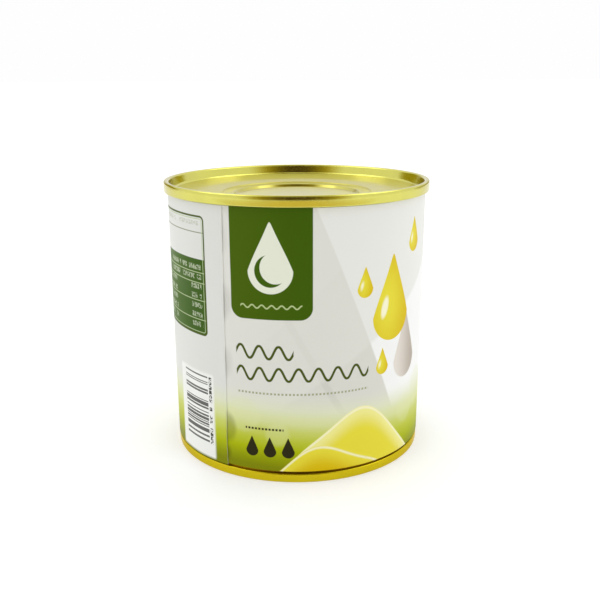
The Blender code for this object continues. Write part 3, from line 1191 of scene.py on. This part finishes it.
# What stands in for the studio that the gold mirrors, in metres
BOARDS = (
    # name, near and far edge (y, z), half width, fade, colour, margin's colour
    ("front_board", (-0.80, 0.03), (-0.80, 0.72), 0.92, 0.42, "#4A3606", "#C4AE18"),
    ("roof_board", (-0.62, 0.80), (0.10, 0.80), 0.60, 0.40, "#4A3A12", "#B09C10"),
    ("table_board", (-0.14, 0.003), (-0.78, 0.003), 0.42, 0.34, "#EBD38A", "#EBD38A"),
)
DIMMING_BOARD = ("dimming_board", (-0.82, 0.10), (-0.82, 0.95), 0.45, 0.10, "#4A4A48", "#4A4A48")
SOFTBOX = ("softbox", (-0.30, 0.75), (0.30, 0.75), 0.50, 0.25, "#FFFFFF", "#FFFFFF")
SOFTBOX_ASIDE = 0.70
SOFTBOX_GLOW = 2.4
CORNER_BOARDS = (
    # side, height, colour
    (-1, 0.60, "#A89818"),
    (1, 0.30, "#B4A61A"),
)
CORNER_MARGIN = "#B0A014"
CORNER_BACK = 1.20
CORNER_HALF = 1.20
CORNER_FADE = 0.60
CORNER_ASIDE = 1.35

SKY_STRENGTH = 1.25316
SKY_BANDS = (
    # height of the direction, colour of the surround there
    (0.45, "#E6E6E6"),
    (0.80, "#FFFFFF"),
)


def make_world():
    """Even white studio surround, a little brighter overhead."""
    world = bpy.data.worlds.new("studio")
    world.use_nodes = True
    world.node_tree.nodes.clear()
    towards = add(world.node_tree, "ShaderNodeTexCoord")
    rise = add(world.node_tree, "ShaderNodeSeparateXYZ", {0: towards}, output=2)
    bands = tone_ramp(world.node_tree, rise, SKY_BANDS)
    surround = add(world.node_tree, "ShaderNodeBackground", {"Color": bands, "Strength": SKY_STRENGTH})
    end_with(world.node_tree, "ShaderNodeOutputWorld", surround)
    bpy.context.scene.world = world


EYE = (0.0, -0.234429, 0.104833)
PITCH = math.radians(17.245)
YAW = math.radians(0.196)
ROLL = math.radians(-0.239)
SENSOR = 36.0
LENS = 48.668
SHIFT = 0.05
NEAR_CLIP = 0.01


def make_camera():
    """Camera at the photograph's viewpoint."""
    data = bpy.data.cameras.new("camera")
    data.sensor_width = SENSOR
    data.lens = LENS
    data.shift_y = SHIFT
    data.clip_start = NEAR_CLIP
    camera = in_scene("camera", data)
    heading = Matrix.Rotation(-YAW, 4, "Z")
    tilt = Matrix.Rotation(math.pi / 2 - PITCH, 4, "X")
    camera.matrix_world = Matrix.Translation(EYE) @ heading @ tilt @ Matrix.Rotation(ROLL, 4, "Z")
    bpy.context.scene.camera = camera


make_camera()
make_world()
make_floor()
for board in BOARDS:
    make_board(*board)
make_board(*DIMMING_BOARD, dims_paper=True)
for side, top, dark in CORNER_BOARDS:
    edges = ((CORNER_BACK, 0.0), (CORNER_BACK, top))
    make_board("corner_board", *edges, CORNER_HALF, CORNER_FADE, dark, CORNER_MARGIN, side * CORNER_ASIDE)
    make_board(*SOFTBOX, side * SOFTBOX_ASIDE, SOFTBOX_GLOW)
bpy.context.scene.view_settings.view_transform = "Standard"

TOP_TONES_AND_SHEEN = (
    # radius, colour of the lacquer there; the two pale tones in the middle are painted sheen, the white of
    # the clear coat's reflection on the disc
    (0.0060, "#DCD9AC"),
    (0.0166, "#D8D49C"),
    (0.0173, "#C4BC54"),
    (0.0335, "#C4BC54"),
    (0.0354, "#D6D262"),
)
BASE_TONES = (
    (0.0300, "#C8BC40"),
    (0.0348, "#CEBA0C"),
)
BODY_TONES = (
    (0.0100, "#B0902A"),
    (0.0360, "#B0902A"),
)
TIN_FINISHES = (
    # name, tones, colour at a glancing angle, roughness of the seam and of the panel, coat
    ("gold lacquered tinplate, top end", TOP_TONES_AND_SHEEN, "#E4E0D0", 0.17, 0.42, 0.6),
    ("gold lacquered tinplate, base end", BASE_TONES, "#F6E6A0", 0.2, 0.42, 0.2),
    ("gold lacquered tinplate, body", BODY_TONES, "#E8D8A0", 0.3, 0.3, 0.2),
)
top_gold, base_gold, body_gold = [gold_lacquer(*finish) for finish in TIN_FINISHES]
turning = turning_tree()
lid = turned_piece("gold_lid", lid_corners(), turning, top_gold)
base = turned_piece("gold_base", base_corners(), turning, base_gold)
body = turned_piece("steel_body", body_corners(), turning, body_gold)
label = make_label(printed_stock(), bare_stock())

for piece, node, finish in (
    (lid, "lid_end", "gold_end"),
    (base, "bottom_end", "gold_end"),
    (body, "can_body", "body_tinplate"),
    (label, "paper_label", "label_paper"),
):
    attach(piece, "root")
    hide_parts(node)
